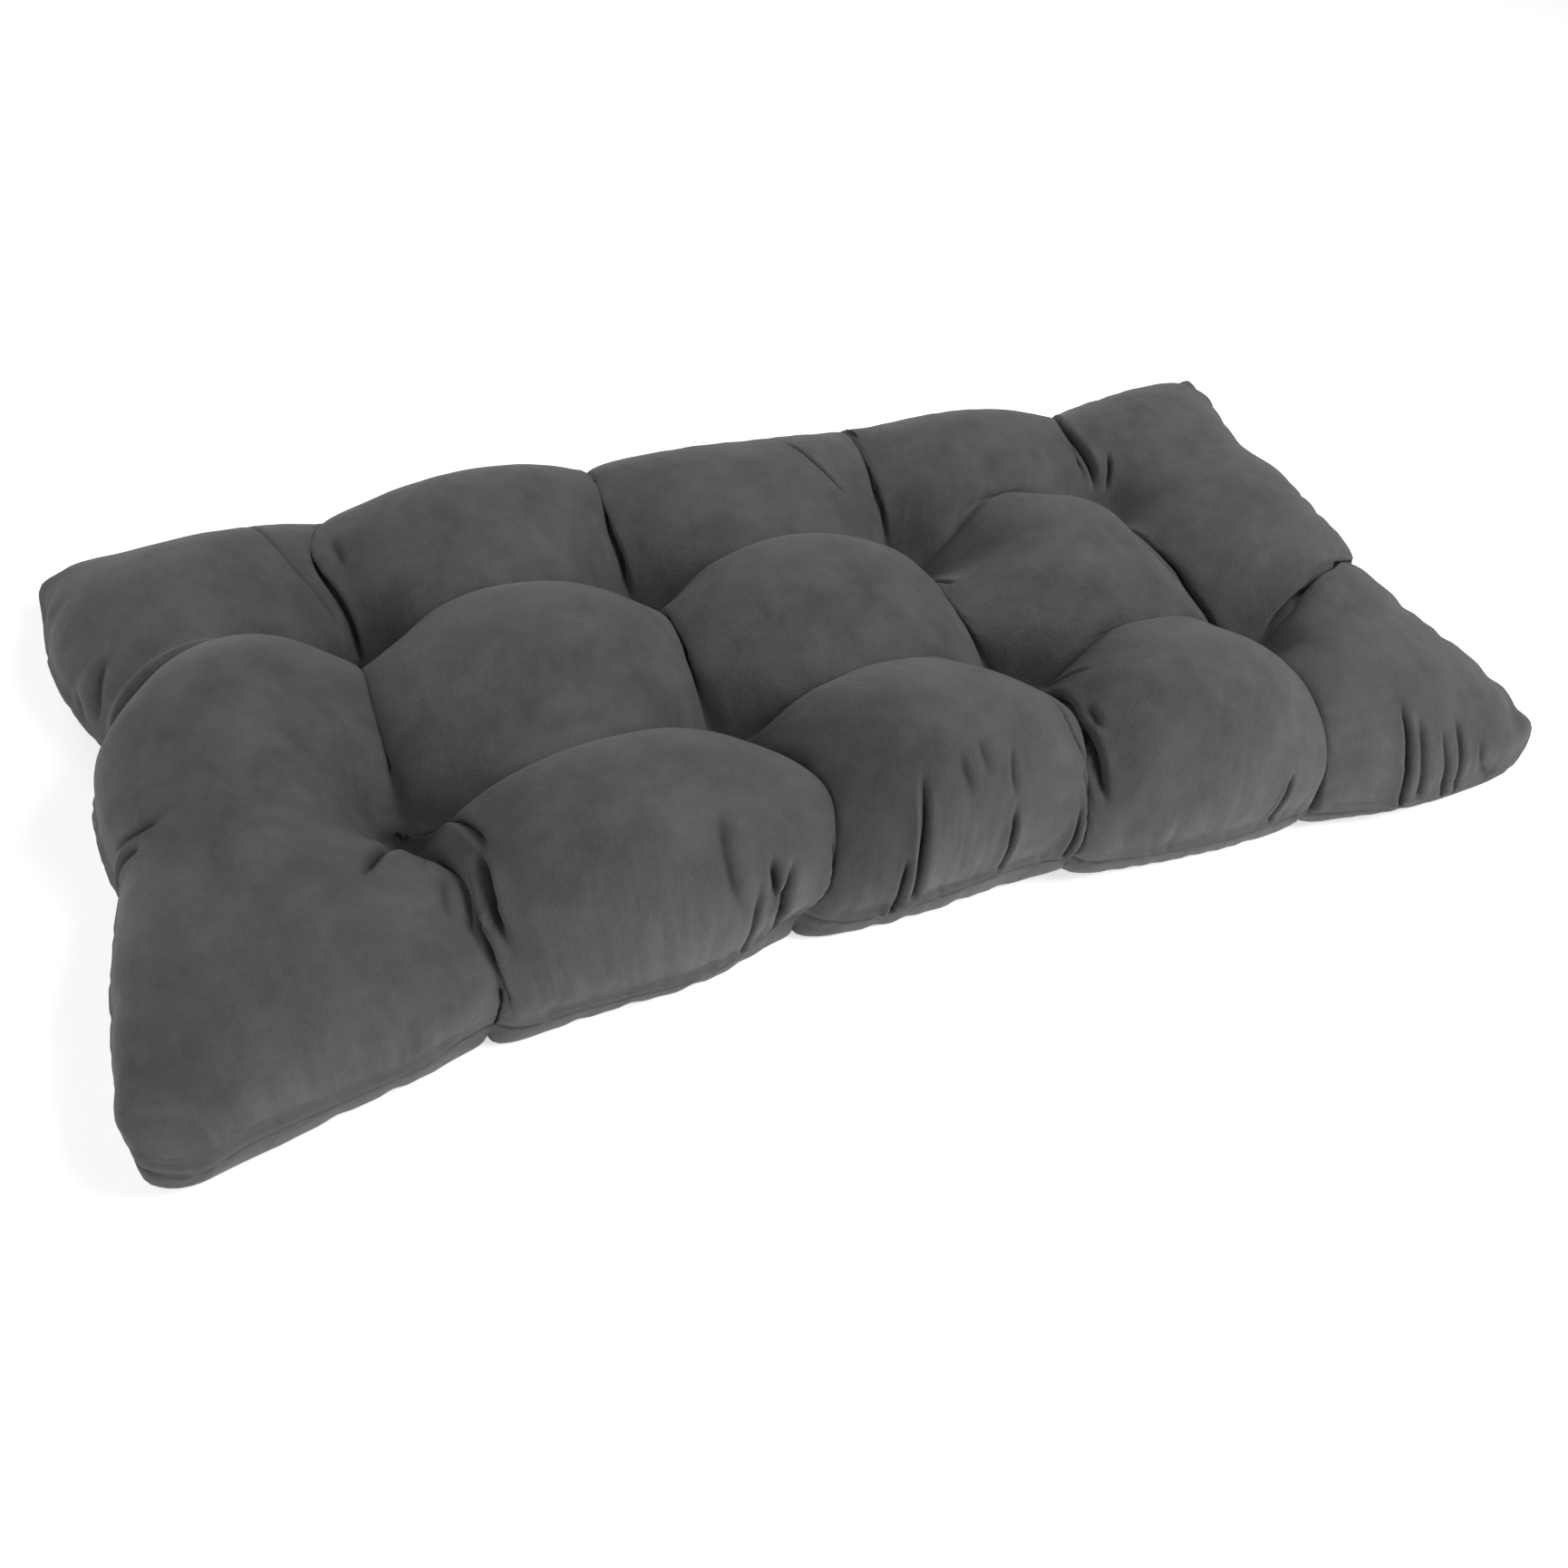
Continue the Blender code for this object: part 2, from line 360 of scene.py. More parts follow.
# and where both panels are moved together, at the outline
nudges = (
    (0.15, 0, 0.09, 0.1, 2, -7, -2),
    (2.8, 0, 0.3, 0.3, -5, 9, 13),
    (3.85, 0, 0.2, 0.2, 0, 6, 4),
    (4.55, 0, 0.25, 0.22, 0, -12, -4),
    (0.9, 0, 0.1, 0.16, 0, 6, 4),
    (0, 0, 0.05, 0.06, 1, -3, 0),
    (0.25, 0, 0.12, 0.15, 0, 3, 0),
    (0.55, 0, 0.22, 0.18, 0, 3, 1),
    (1.3, 0, 0.22, 0.2, 0, 3, 1),
    (1.62, 0, 0.15, 0.16, 0, -2, -1),
    (1.92, 0, 0.13, 0.16, -3, 8, 6),
    (2.5, 0, 0.22, 0.2, 0, 3, 2),
    (3.05, 0, 0.1, 0.14, -6, -4, 0),
    (3.5, 0, 0.25, 0.2, 0, 4, 1),
    (4.3, 0, 0.14, 0.16, 0, -5, -2),
    (4.82, 0, 0.13, 0.16, 0, -7, 0),
    (5, 0.12, 0.1, 0.1, 4, 4, 3),
    (5, 0.5, 0.25, 0.35, 7, 0, 0),
    (5, 2.2, 0.2, 0.3, -7, 0, 0),
    (4.8, 3, 0.14, 0.2, 0, -6, -6),
    (4.66, 2.94, 0.2, 0.28, 0, -3, -7),
    (3, 3, 0.13, 0.18, 0, 7, 8),
    (2.5, 3, 0.25, 0.25, 0, -2, -3),
    (2.01, 2.97, 0.11, 0.18, 0, -8, -10),
    (1.7, 3, 0.15, 0.2, 0, 2, 3),
    (0, 2.4, 0.2, 0.28, -7, 0, 0),
    (0, 1.98, 0.1, 0.12, 6, -5, 0),
    (0, 1, 0.08, 0.1, 0, -6, 0),
    (0, 0.4, 0.15, 0.2, -3, 0, 0),
)

# the cloth slopes wider and deeper into each tuft than the filling gives: reach in cells, depth in metres
funnels = {"reach": 0.12, "depth": 0.015}

# the two panels round off into each other at the seam, but not at its pinches and corners
flush = {"reach": 0.020, "rounds": 10, "pinch": 0.13}  # metres, and cells round a pinch


def near(along, across, p, q, reachAlong, reachAcross):
    return np.exp(-((along - p) / reachAlong) ** 2 - ((across - q) / reachAcross) ** 2)


def betweenPinches(along, across):
    # 1 along the seam, falling to 0 at its pinches and corners
    fromFrontOrBack = np.minimum(across, cut["rows"] - across)
    bySide = np.where(fromFrontOrBack < np.minimum(along, cut["columns"] - along), along, across)
    return 1 - np.exp(-((bySide - np.round(bySide)) / flush["pinch"]) ** 2)


def inCloth(along, across):
    # cell numbers as metres of cloth
    return np.stack((along, across), -1) * seam["clothCell"]


def seamPlace(along, across):
    # distance from the closing seam, how far round the cushion, and the whole way round, in metres of cloth
    wide, deep = inCloth(cut["columns"], cut["rows"])
    u, v = inCloth(along, across).T
    toSides = np.stack((v, wide - u, deep - v, u))
    rounds = np.stack((u, wide + v, wide + deep + (wide - u), 2 * wide + deep + (deep - v)))
    nearest = toSides.argmin(0)
    pick = np.arange(along.size)
    return toSides[nearest, pick], rounds[nearest, pick], 2 * (wide + deep)


def ease(data, points, weights, rounds):
    # each round moves a point half its weight of the way to its neighbours' mean
    pairs = np.zeros(len(data.edges) * 2, np.int32)
    data.edges.foreach_get("vertices", pairs)
    one, other = pairs[::2], pairs[1::2]
    count = len(points)
    links = np.bincount(pairs, minlength=count)[:, None]
    for number in range(rounds):
        sums = [np.bincount(one, values[other], count) + np.bincount(other, values[one], count)
                for values in points.T]
        points += (np.stack(sums, -1) / links - points) * (0.5 * weights)[:, None]


def patIntoShape(piece):
    data = piece.data
    points = readPoints(data)
    along, across, side = readPlaces(data)
    upper = (side > 0).astype(float)
    soft = upper * np.max([near(along, across, *spot) for spot in softened], axis=0)
    ease(data, points, soft, softRounds)
    even = smooth(1 - seamPlace(along, across)[0] / flush["reach"]) * betweenPinches(along, across)
    ease(data, points, even, flush["rounds"])
    for *spot, x, y, z in pats:
        points += (upper * near(along, across, *spot))[:, None] * (np.array((x, y, z)) / 1000)
    for *spot, x, y, z in nudges:
        points += near(along, across, *spot)[:, None] * (np.array((x, y, z)) / 1000)
    for column, row in tufts:
        off = ((along - column) ** 2 + (across - row) ** 2) / funnels["reach"] ** 2
        points[:, 2] -= upper * funnels["depth"] * off * np.exp(1 - off)
    writePoints(data, points)
    print("cushion: patted into shape,", len(pats) + len(nudges), "moves")


def subdivide(piece):
    modifier = piece.modifiers.new("finer", "SUBSURF")
    modifier.levels = modifier.render_levels = 1
    apply(piece, modifier)


seam = {
    "reach": 0.04,  # no wave or pucker goes further from the seam than this
    "clothCell": (0.247, 0.197),  # what one cell measures in the cloth, along and across
    "level": 0.0034,  # the panels lie in line at the seam, so the gap between their bulges is filled
    "levelHalf": 0.0042,
    "groove": 0.0020,  # how deep the closing seam draws in
    "grooveHalf": 0.0014,
    "wave": 0.0016,  # the seam wanders up and down
    "waveLength": 0.060,
    "waveReach": 0.014,
    "waveSlice": 3.0,  # which of the chance waves it takes
    "puckerGap": (0.014, 0.036),
    "puckerDepth": (0.0005, 0.0019),
    "puckerHalf": (0.0028, 0.0052),
    "puckerReach": (0.010, 0.024),
    "puckerSlant": (-0.3, 0.3),
    "puckerPanels": (-1, 0, 0, 1, 1),  # lower, both or upper, as often as listed
    "puckerWidest": 0.03,
    "puckerStart": 0.003,  # from the seam
    "puckerFade": 0.7,  # share of its reach over which it fades out
    "puckerSeed": 11,
    "swell": 0.35,  # share of a pucker's depth by which the cloth swells beside it
    "swellHalf": 2.2,  # and over how many of its half widths
}

# how a fold shapes the cloth, in its own half widths unless it says metres
folding = {
    "step": 0.0025,  # metres from point to point of a fold's run
    "reach": 5,  # it moves no cloth further from its line than this
    "swell": 0.25,  # share of its depth by which the cloth swells on both sides
    "swellAt": 2,
    "swellHalf": 1.3,
    "draw": 0.30,  # share of the way that the cloth beside it is drawn in to its line
    "drawHalf": 1.6,
    "fade": 0.016,  # metres of its ends over which it fades out
    "fadeShare": 0.10,  # and the share of its length that comes on top
    "fadeMost": 0.45,
    "intoSeam": 0.06,  # cells: one that ends closer to the closing seam stays deep there
}

# folds laid in: half width and depth in mm, lean to one side, then the way each runs in (p, q)
folds = (
    # first front crease
    (2.8, 6.9, 0.5, ((1.01, 1.02), (1.06, 1.01), (1.11, 0.97), (1.15, 0.88), (1.145, 0.72),
        (1.135, 0.637), (1.122, 0.566))),
    (2.8, 10.3, 0.3, ((1.113, 0.648), (1.1, 0.572), (1.095, 0.483), (1.1, 0.402), (1.11, 0.333),
        (1.12, 0.275))),
    (2.2, 9.2, 0.2, ((1.045, 0.53), (1.055, 0.446), (1.064, 0.387), (1.068, 0.325), (1.066, 0.267),
        (1.056, 0.2), (1.046, 0.152), (1.035, 0.09))),
    (1.8, 8, 0, ((0.971, 0.172), (0.986, 0.09), (1, 0))),
    (3.4, 5.8, 0, ((0.985, 0.97), (0.92, 0.86), (0.85, 0.76), (0.77, 0.64), (0.721, 0.572))),
    (3.4, 2.3, 0, ((0.93, 0.63), (0.9, 0.54), (0.89, 0.46), (0.9, 0.38))),
    (2.2, 1.4, 0, ((0.96, 0.78), (0.9, 0.66), (0.86, 0.565))),
    # second front crease and the gathers beside it
    (2.4, 6.9, 0, ((2, 0.95), (2, 0.76), (2, 0.61), (2, 0.466), (1.99, 0.32), (1.98, 0.22))),
    (2.2, 9.2, 0.3, ((1.93, 0.314), (1.94, 0.235), (1.96, 0.15), (1.985, 0.055), (1.99, 0))),
    (3, 7.5, 0, ((1.76, 0.3), (1.77, 0.25), (1.78, 0.2), (1.8, 0.14))),
    (3.2, 9.2, 0.3, ((1.815, 0.28), (1.812, 0.2), (1.82, 0.14), (1.84, 0.08), (1.86, 0))),
    (4, 3.4, -0.8, ((1.68, 0.449), (1.664, 0.359), (1.664, 0.281), (1.681, 0.217), (1.715, 0.156))),
    (2.6, 3.4, 0, ((1.736, 0.25), (1.736, 0.17), (1.745, 0.09), (1.75, 0.02))),
    # third front crease and the gathers left of it
    (3.4, 9.2, 0.5, ((2.339, 0.38), (2.345, 0.304), (2.347, 0.257), (2.346, 0.198), (2.35, 0.11),
        (2.352, 0.055))),
    (3.4, 9.2, 0.4, ((2.305, 0.21), (2.299, 0.134), (2.297, 0.053), (2.288, 0))),
    (2.4, 2.3, 0, ((2.646, 0.4), (2.642, 0.328), (2.648, 0.279), (2.654, 0.24))),
    (2.4, 6.3, 0, ((2.652, 0.26), (2.659, 0.189), (2.667, 0.11), (2.67, 0.04))),
    (2.1, 6.9, 0, ((2.912, 0.23), (2.916, 0.15), (2.92, 0.091), (2.925, 0.03))),
    (2.6, 8, 0, ((2.925, 0.37), (2.941, 0.29), (2.948, 0.23), (2.96, 0.16), (2.975, 0.08), (2.98, 0.01))),
    (2.2, 4.5, 0, ((2.865, 0.66), (2.875, 0.58), (2.895, 0.47), (2.925, 0.41), (2.96, 0.35))),
    (2.7, 10.3, 0.3, ((3.01, 0.42), (3.01, 0.33), (3.01, 0.25), (3.01, 0.15), (3.005, 0.05))),
    (3.4, 10.3, 0.3, ((3.05, 0.96), (3.05, 0.79), (3.04, 0.647), (3.04, 0.56), (3.055, 0.481),
        (3.07, 0.403), (3.08, 0.322), (3.09, 0.249), (3.1, 0.193))),
    (3, 4.6, 0, ((3.085, 0.62), (3.09, 0.532), (3.1, 0.454))),
    (2.4, 4.6, 0, ((3.1, 0.95), (3.15, 0.86), (3.19, 0.78))),
    (4.5, 2.5, 0, ((2.471, 0.404), (2.485, 0.342), (2.516, 0.283))),
    (4.5, 2.3, 0, ((2.533, 0.434), (2.551, 0.363), (2.567, 0.311))),
    # right end
    (3.4, 8.6, 0, ((4.1, 1.03), (4.2, 1.05), (4.33, 1.03), (4.45, 1), (4.58, 0.99), (4.73, 1.03),
        (4.88, 1.03))),
    (3, 6.9, 0.3, ((4.352, 0.36), (4.345, 0.249), (4.334, 0.155), (4.329, 0.076), (4.332, 0))),
    (3.4, 3.4, 0, ((4.41, 0.3), (4.4, 0.2), (4.396, 0.12), (4.4, 0.03))),
    (2.8, 3.4, 0, ((4.485, 0.24), (4.49, 0.15), (4.497, 0.073), (4.512, 0))),
    (2.8, 4.1, 0, ((4.553, 0.26), (4.551, 0.16), (4.553, 0.072), (4.564, 0))),
    (3.4, 2.3, 0, ((4.63, 0.17), (4.645, 0.08), (4.7, 0.01))),
    (3, 5.2, 0, ((4.01, 0.46), (4.01, 0.35), (4.01, 0.25), (4.01, 0.17), (4.01, 0.09), (4.01, 0.02))),
    (2.4, 4.6, 0, ((3.765, 0.22), (3.765, 0.167), (3.768, 0.1), (3.77, 0.03))),
    # back left and middle
    (2.8, 8, 0, ((0.985, 2.92), (1, 2.72), (1.015, 2.52), (1.02, 2.4), (1.02, 2.28),
        (1.02, 2.16), (1.01, 2.06))),
    (2.2, 1.6, 0, ((0.7, 2.78), (0.78, 2.6), (0.86, 2.42), (0.93, 2.25), (0.97, 2.14))),
    (3.5, 2.8, 0, ((1.094, 2.55), (1.095, 2.44), (1.085, 2.34))),
    (2.6, 6.9, 0, ((1.01, 1.86), (1.02, 1.7), (1.025, 1.55), (1.02, 1.4), (1.01, 1.26))),
    (3.2, 8, 0, ((1.99, 2.88), (2.01, 2.66), (2.02, 2.5), (2.025, 2.38), (2.02, 2.22), (2.01, 2.1))),
    (2, 4, 0, ((1.94, 2.8), (1.955, 2.7), (1.975, 2.6))),
    (2.6, 6.9, 0, ((2.01, 1.88), (2.025, 1.72), (2.03, 1.56), (2.03, 1.44), (2.02, 1.32))),
    # back and middle right
    (2.2, 4, 0.3, ((2.671, 2.61), (2.703, 2.517), (2.736, 2.407), (2.78, 2.319), (2.845, 2.251))),
    (2.8, 7.5, 0, ((3.01, 2.9), (3.03, 2.72), (3.03, 2.56), (3.03, 2.4), (3.02, 2.28), (3.01, 2.16))),
    (4.2, 11.5, 0, ((4.01, 2.93), (4.03, 2.8), (4.045, 2.62), (4.055, 2.46), (4.06, 2.3), (4.055, 2.16))),
    (3.2, 5.2, 0, ((4.15, 2.32), (4.143, 2.224), (4.11, 2.11))),
    (2.6, 4, 0, ((3.06, 1.95), (3.08, 1.82), (3.1, 1.66), (3.13, 1.58))),
    (3.2, 8, 0, ((3.04, 1.72), (3.035, 1.6), (3.035, 1.48), (3.03, 1.38), (3.01, 1.26))),
    # left side; a negative depth is a ridge
    (3.4, 6.5, 0, ((0.01, 1.965), (0.08, 1.98), (0.18, 2), (0.3, 2.015), (0.44, 2))),
    (4.2, -6, 0, ((0.01, 2.01), (0.08, 2.03), (0.18, 2.055), (0.3, 2.075), (0.44, 2.07), (0.58, 2.04))),
    (5, 3.2, 0, ((0.028, 2.075), (0.09, 2.12), (0.16, 2.18), (0.23, 2.23))),
    (3.4, 1.8, 0, ((0.014, 2.142), (0.044, 2.195), (0.068, 2.274))),
    (3, 7.5, 0, ((0.01, 1), (0.06, 1.03), (0.126, 1.02), (0.19, 0.987))),
    (2.6, 4, 0, ((0.075, 1.107), (0.149, 1.077), (0.213, 1.046), (0.29, 1.02))),
)

# and one along each other crease that the filling leaves between two columns, as (column, row)
creases = {"half": 3.2, "depth": 4.5, "along": (0.06, 0.5, 0.94), "places": ((4, 0), (4, 1))}
folds += tuple((creases["half"], creases["depth"], 0, [(column, row + part) for part in creases["along"]])
               for column, row in creases["places"])

# painted shade: how much darker the colour is painted in folds, hollows, round the stitches and on the lower
# panel, from 0 to 1
paintedShade = {
    "foldDepth": 0.006,  # a fold this deep is darkest
    "tuft": 0.020,  # metres of cloth round each stitch
    "hollow": 0.22,  # between the bulges, full at this height and gone so far above it
    "hollowFrom": 0.045,
    "hollowOver": 0.075,
    "edge": 0.3,  # cells from the edge where the hollows begin
    "edgeOver": 0.4,
    "under": 0.16,  # the lower panel
}

# what loose filling does to the cloth, as (share, length) of each wave
unevenness = {"height": 0.0009, "waves": ((1.0, 0.055), (0.5, 0.026)), "lying": 0.02}

meshed = {
    "underShare": 0.62,  # of the points kept on the face that the cushion lies on
    "underHeight": 0.006,
    "finer": ((0.011, 0.009), (0.0042, 0.0028)),  # each halving's reach from the folds and from the seam
    "easeRounds": 3,
}


def throughPoints(way, gap):
    # a smooth line through the given points, as points a gap apart
    ends = np.concatenate((2 * way[:1] - way[1:2], way, 2 * way[-1:] - way[-2:-1]))
    run = []
    for number in range(len(way) - 1):
        a, b, c, d = ends[number:number + 4]
        t = np.arange(max(2, math.ceil(math.dist(b, c) / gap)))[:, None]
        t = t / len(t)
        run.append(0.5 * (2 * b + (c - a) * t + (2 * a - 5 * b + 4 * c - d) * t ** 2
                          + (3 * b - a - 3 * c + d) * t ** 3))
    return np.concatenate(run + [way[-1:]])


def foldRuns():
    # each fold as a close run of points in the cloth
    return [throughPoints(inCloth(*np.array(fold[-1]).T), folding["step"]) for fold in folds]


def clothTree(places, numbers):
    # finds the nearest of these places in the cloth, and gives its number
    tree = KDTree(len(places))
    for place, number in zip(places, numbers):
        tree.insert((place[0], place[1], 0.0), int(number))
    tree.balance()
    return tree


def ripple(piece):
    data = piece.data
    points, normals = readPoints(data), readNormals(data)
    rise = [sum(share * noise.noise(Vector(point) / length) for share, length in unevenness["waves"])
            for point in points]
    lying = smooth(points[:, 2] / unevenness["lying"])
    points += normals * (np.array(rise) * unevenness["height"] * lying)[:, None]
    writePoints(data, points)


def thinUnderside(piece):
    # the face that the cushion lies on is plain, so it needs few points
    points = readPoints(piece.data)
    group = piece.vertex_groups.new(name="underside")
    under = (readPlaces(piece.data)[2] < 0) & (points[:, 2] < meshed["underHeight"])
    group.add([int(i) for i in np.nonzero(under)[0]], 1.0, "REPLACE")
    modifier = piece.modifiers.new("thin", "DECIMATE")
    modifier.ratio = meshed["underShare"]
    modifier.vertex_group = "underside"
    apply(piece, modifier)
    piece.vertex_groups.clear()


def finerNear(piece, foldReach, seamReach):
    # halves the mesh steps beside the folds and the seam, then eases the new points
    data = piece.data
    along, across, side = readPlaces(data)
    runs = np.concatenate(foldRuns())
    tree = clothTree(runs, range(len(runs)))
    toFold = np.array([tree.find((u, v, 0.0))[2] for u, v in inCloth(along, across)])
    toSeam = seamPlace(along, across)[0]
    chosen = ((toFold < foldReach) & (side > 0)) | (toSeam < seamReach)
    finer = bmesh.new()
    finer.from_mesh(data)
    finer.verts.ensure_lookup_table()
    edges = {edge for face in finer.faces if all(chosen[vert.index] for vert in face.verts)
             for edge in face.edges}
    before = len(finer.verts)
    bmesh.ops.subdivide_edges(finer, edges=list(edges), cuts=1, use_grid_fill=True)
    finer.verts.index_update()
    made = [vert.index for vert in finer.verts if vert.index >= before]
    finer.to_mesh(data)
    finer.free()
    data.update()
    eased = np.zeros(len(data.vertices))
    eased[made] = 1.0
    eased *= readPlaces(data)[2] != 0
    points = readPoints(data)
    ease(data, points, eased, meshed["easeRounds"])
    writePoints(data, points)


def besideRun(places, run):
    # for each place in the cloth: the run's nearest stretch, the share of it that is passed, the gap with
    # the side as its sign, and how far along the run that is; then the run's length
    start, step = run[:-1], np.diff(run, axis=0)
    length = np.hypot(step[:, 0], step[:, 1])
    fromStart = places[:, None] - start
    share = np.clip((fromStart * step).sum(-1) / length ** 2, 0, 1)
    off = fromStart - share[..., None] * step
    gap = np.hypot(off[..., 0], off[..., 1])
    best = gap.argmin(1)
    pick = np.arange(len(places))
    gap, share = gap[pick, best], share[pick, best]
    turn = step[best, 0] * off[pick, best, 1] - step[best, 1] * off[pick, best, 0]
    passed = np.concatenate(((0,), np.cumsum(length)))[best] + share * length[best]
    return best, share, gap * np.where(turn < 0, -1, 1), passed, length.sum()


def onSurface(run, tree, points):
    # where the run lies on the filled cloth
    spots = []
    for u, v in run:
        found = tree.find_n((u, v, 0.0), 3)
        weights = np.array([1 / (distance + 1e-5) for place, number, distance in found])
        nearest = points[[number for place, number, distance in found]]
        spots.append((nearest * weights[:, None]).sum(0) / weights.sum())
    return np.array(spots)


def layFolds(piece):
    data = piece.data
    points, normals = readPoints(data), readNormals(data)
    along, across, side = readPlaces(data)
    cloth = inCloth(along, across)
    upper = np.nonzero(side >= 0)[0]
    tree = clothTree(cloth[upper], upper)
    # where folds cross, the deeper one holds
    low, high, dark = (np.zeros(len(points)) for number in range(3))
    drawn = np.zeros_like(points)
    for (half, depth, lean, way), run in zip(folds, foldRuns()):
        half, depth = half / 1000, depth / 1000
        least, most = run.min(0) - half * folding["reach"], run.max(0) + half * folding["reach"]
        close = upper[((cloth[upper] > least) & (cloth[upper] < most)).all(1)]
        stretch, share, gap, passed, total = besideRun(cloth[close], run)
        d, passed = gap / half, passed / total
        ends = min(folding["fadeMost"], folding["fade"] / total + folding["fadeShare"])
        fade = smooth(passed / ends)
        if way[-1][1] > folding["intoSeam"]:
            fade = fade * smooth((1 - passed) / ends)
        trough = np.exp(-d ** 2)
        # painted shade: the colour is darkened along each fold's trough
        dark[close] = np.maximum(dark[close], fade * trough * min(1, depth / paintedShade["foldDepth"]))
        swells = (1 + lean) * np.exp(-((d + folding["swellAt"]) / folding["swellHalf"]) ** 2)
        swells = swells + (1 - lean) * np.exp(-((d - folding["swellAt"]) / folding["swellHalf"]) ** 2)
        move = fade * depth * (folding["swell"] * swells - trough)
        spots = onSurface(run, tree, points)
        line = spots[stretch] + (spots[stretch + 1] - spots[stretch]) * share[:, None]
        pull = folding["draw"] * fade * np.exp(-(d / folding["drawHalf"]) ** 2)
        deeper = move < low[close]
        drawn[close[deeper]] = ((line - points[close]) * pull[:, None])[deeper]
        low[close] = np.minimum(low[close], move)
        high[close] = np.maximum(high[close], move)
    paintShade(data, points, dark)
    writePoints(data, points + drawn + normals * (low + high)[:, None])
    print("cushion:", len(folds), "folds laid in")


def paintShade(data, points, dark):
    # painted shade: besides the folds, the hollows, the lower panel and the cloth at the stitches are
    # painted darker, and the amount is kept in the deep attribute
    along, across, side = readPlaces(data)
    cloth = inCloth(along, across)
    hollow = 1 - smooth((points[:, 2] - paintedShade["hollowFrom"]) / paintedShade["hollowOver"])
    inside = smooth((cellsToEdge(along, across) - paintedShade["edge"]) / paintedShade["edgeOver"])
    dark = np.where(side < 0, paintedShade["under"], np.maximum(dark, paintedShade["hollow"] * hollow * inside))
    for column, row in tufts:
        off = np.hypot(*(cloth - inCloth(column, row)).T)
        dark = np.maximum(dark, np.exp(-(off / paintedShade["tuft"]) ** 2))
    writeValues(data, "deep", dark)


def drawSeam(piece):
    # the closing seam: a wandering groove, and the small puckers that run from it
    data = piece.data
    points, normals = readPoints(data), readNormals(data)
    along, across, side = readPlaces(data)
    gap, around, total = seamPlace(along, across)
    close = np.nonzero(gap < seam["reach"])[0]
    radius = total / seam["waveLength"] / (2 * math.pi)
    turns = around[close] / total * 2 * math.pi
    wander = np.array([noise.noise((radius * math.cos(turn), radius * math.sin(turn), seam["waveSlice"]))
                       for turn in turns])
    points[close, 2] += seam["wave"] * 2 * wander * np.exp(-(gap[close] / seam["waveReach"]) ** 2)
    drop = np.zeros(len(points))
    chance = np.random.RandomState(seam["puckerSeed"])
    place = 0.0
    while place < total:
        place += chance.uniform(*seam["puckerGap"])
        depth, half = chance.uniform(*seam["puckerDepth"]), chance.uniform(*seam["puckerHalf"])
        reach, slant = chance.uniform(*seam["puckerReach"]), chance.uniform(*seam["puckerSlant"])
        panels = chance.choice(seam["puckerPanels"])
        here = close[np.abs(around[close] - place) < seam["puckerWidest"]]
        if panels:
            here = here[side[here] * panels >= 0]
        off = around[here] - place - slant * gap[here]
        fade = seam["puckerFade"] * reach
        rise = smooth(gap[here] / seam["puckerStart"]) * smooth((reach - gap[here]) / fade)
        swell = seam["swell"] * np.exp(-(off / (seam["swellHalf"] * half)) ** 2)
        drop[here] -= depth * rise * (np.exp(-(off / half) ** 2) - swell)
    points += normals * drop[:, None]
    toBack, toRight = cut["rows"] - across, cut["columns"] - along
    nearest = np.stack((across * cut["rowShare"], toRight, toBack * cut["rowShare"], along)).argmin(0)
    outwards = np.array(((0, -1, 0), (1, 0, 0), (0, 1, 0), (-1, 0, 0)))[nearest]
    out = seam["level"] * betweenPinches(along, across) * np.exp(-(gap / seam["levelHalf"]) ** 2)
    out -= seam["groove"] * np.exp(-(gap / seam["grooveHalf"]) ** 2)
    points += outwards * out[:, None]
    writePoints(data, points)
    print("cushion: closing seam drawn")


def linear(code):
    # an sRGB hex colour as linear red, green, blue and 1
    parts = [int(code[i:i + 2], 16) / 255 for i in (1, 3, 5)]
    return tuple(c / 12.92 if c <= 0.04045 else ((c + 0.055) / 1.055) ** 2.4 for c in parts) + (1.0,)


def setInputs(tree, node, inputs):
    # each from a plain value, another node's output, or a node, whose first output is meant
    for name, value in inputs.items():
        if isinstance(value, bpy.types.Node):
            value = value.outputs[0]
        if isinstance(value, bpy.types.NodeSocket):
            tree.links.new(value, node.inputs[name])
        else:
            node.inputs[name].default_value = value


def addNode(tree, kind, inputs, **settings):
    # one node with its settings and links
    node = tree.nodes.new(kind)
    for name, value in settings.items():
        setattr(node, name, value)
    setInputs(tree, node, inputs)
    return node


def startMaterial(name):
    material = bpy.data.materials.new(name)
    material.use_nodes = True
    return material, material.node_tree, material.node_tree.nodes["Principled BSDF"]


# Brushed microfibre is a dense knit of very fine polyester with its face sanded to a short nap. It is matt,
# a shade lighter where the eye skims along it, and cloudy where the nap lies this way or that.
suede = {
    "napDown": "#484849",
    "napUp": "#656666",
    "shadedColour": "#1c1c1d",  # painted shade: the colour that folds, tuft pits, hollows and the lower panel are darkened towards
    "shadeShare": 0.95,  # how far it goes to that colour there
    "cloud": 0.046,  # metres: patches brushed by a hand
    "blotch": 0.013,
    "fibre": 0.0015,  # the real fibres are 0.01 mm, so clumps of them are drawn
    "streak": (0.006, 0.055, 0.02),  # rubbed marks run up and down the steep sides
    "steep": (0.75, 0.25),  # upward part of the normal where they begin and where they are full
    "shares": (0.95, 0.55, 0.28, 0.75),  # of cloud, blotch, fibre and streak in the colour
    "sum": 2.0,  # they add up to values from minus this to this
    "patchiness": 0.55,
    "contrast": (0.3, 0.7),
    "panelsApart": 0.5,  # metres between the two panels in the patterns
    "roughness": (0.96, 0.84),  # nap down and nap up
    "specular": 0.2,
    "sheen": 0.17,
    "sheenRoughness": 0.55,
    "sheenTint": "#f0f2f2",
    "relief": 0.00030,
    "reliefStrength": 0.4,
    "blotchRelief": 1.2,  # height of a blotch for that of a fibre clump
}


